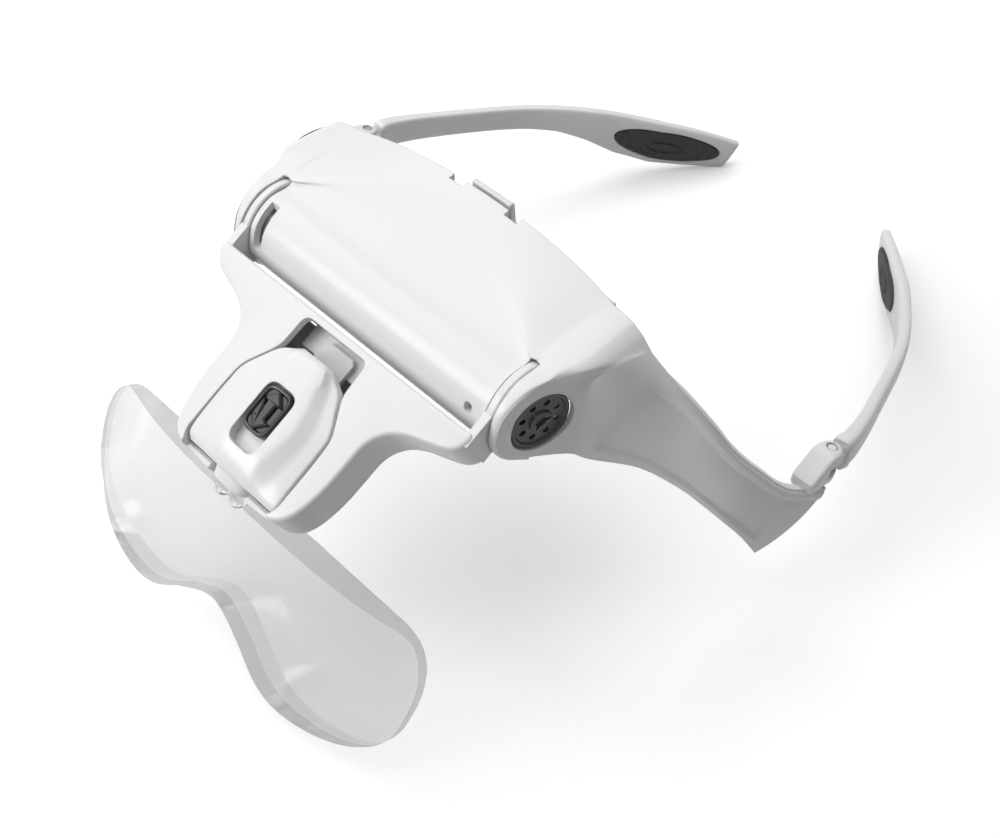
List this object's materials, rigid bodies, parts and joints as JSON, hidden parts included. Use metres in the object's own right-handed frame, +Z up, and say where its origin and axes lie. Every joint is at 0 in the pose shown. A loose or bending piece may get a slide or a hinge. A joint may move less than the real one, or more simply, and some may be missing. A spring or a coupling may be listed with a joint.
{
  "type": "head visor magnifier",
  "caption": "White head-worn magnifying visor with a flip-up bracket, exchangeable clear lens plate, tilting lamp and folding temples.",
  "frame": {"origin": "middle of the bounding box in x and y, on the table plane the part rests on", "axes": "+Z up; x = 0 is the left-right mirror plane and +X is the side whose nodes end in right; +Y runs from the lens back along the temples"},
  "size_m": [0.159, 0.2142, 0.0781],
  "materials": {
    "white_abs": "satin white moulded plastic",
    "black_plastic": "gloss black moulded plastic",
    "black_rubber": "matte black rubber",
    "clear_acrylic": "clear polished acrylic",
    "steel": "bright steel",
    "black_screw": "black steel screw",
    "board_green": "green circuit board",
    "cell_wrap": "wrapped metal can",
    "led_epoxy": "clear epoxy",
    "frosted_clip": "frosted plastic",
    "wire_red": "wire insulation"
  },
  "bodies": {
    "headband": {"front_shell": "white_abs", "inner_shell": "white_abs", "battery_cell_1": "cell_wrap", "battery_cell_2": "cell_wrap", "battery_cell_3": "cell_wrap", "contact_plate_left": "steel", "contact_plate_right": "steel", "pivot_cap_left": "black_plastic", "pivot_cap_right": "black_plastic", "shell_screw_left": "black_screw", "shell_screw_right": "black_screw", "lamp_lead_upper": "wire_red", "temple_pin_left": "steel", "temple_pin_right": "steel"},
    "battery_door": {"battery_door": "white_abs"},
    "bracket": {"bracket_front": "white_abs", "bracket_back": "white_abs", "bracket_screw_1": "black_screw", "bracket_screw_2": "black_screw", "bracket_screw_3": "black_screw", "bracket_screw_4": "black_screw", "lens_clip": "frosted_clip", "lamp_lead_lower": "wire_red"},
    "lamp": {"lamp_housing": "white_abs", "lamp_back": "white_abs", "lamp_board": "board_green", "led_left": "led_epoxy", "led_right": "led_epoxy", "lamp_pin_left": "steel", "lamp_pin_right": "steel"},
    "switch": {"lamp_switch": "black_plastic"},
    "lens": {"lens_plate": "clear_acrylic"},
    "left_temple": {"temple_arm_left": "white_abs", "grip_pad_left": "black_rubber"},
    "right_temple": {"temple_arm_right": "white_abs", "grip_pad_right": "black_rubber"}
  },
  "joints": [
    {"name": "bracket_tilt", "type": "hinge", "parent": "headband", "child": "bracket", "pos_m": [0, -0.04654, 0.0629], "axis": [-1, 0, 0], "range_deg": [-8, 75]},
    {"name": "lamp_tilt", "type": "hinge", "parent": "bracket", "child": "lamp", "pos_m": [0, -0.08768, 0.04766], "axis": [1, 0, 0], "range_deg": [0, 10]},
    {"name": "switch_slide", "type": "slide", "parent": "lamp", "child": "switch", "axis": [0, -0.8815, -0.4722], "range_m": [0, 0.0032]},
    {"name": "lens_release", "type": "slide", "parent": "bracket", "child": "lens", "axis": [0, -0.454, -0.891], "range_m": [0, 0.01]},
    {"name": "battery_door_slide", "type": "slide", "parent": "headband", "child": "battery_door", "axis": [0, 0, 1], "range_m": [0, 0.012]},
    {"name": "left_temple_fold", "type": "hinge", "parent": "headband", "child": "left_temple", "pos_m": [-0.0762, 0.00836, 0.0336], "axis": [0, 0.235, 0.972], "range_deg": [-62, 4]},
    {"name": "right_temple_fold", "type": "hinge", "parent": "headband", "child": "right_temple", "pos_m": [0.0762, 0.00836, 0.0336], "axis": [0, 0.235, 0.972], "range_deg": [-4, 62]}
  ]
}
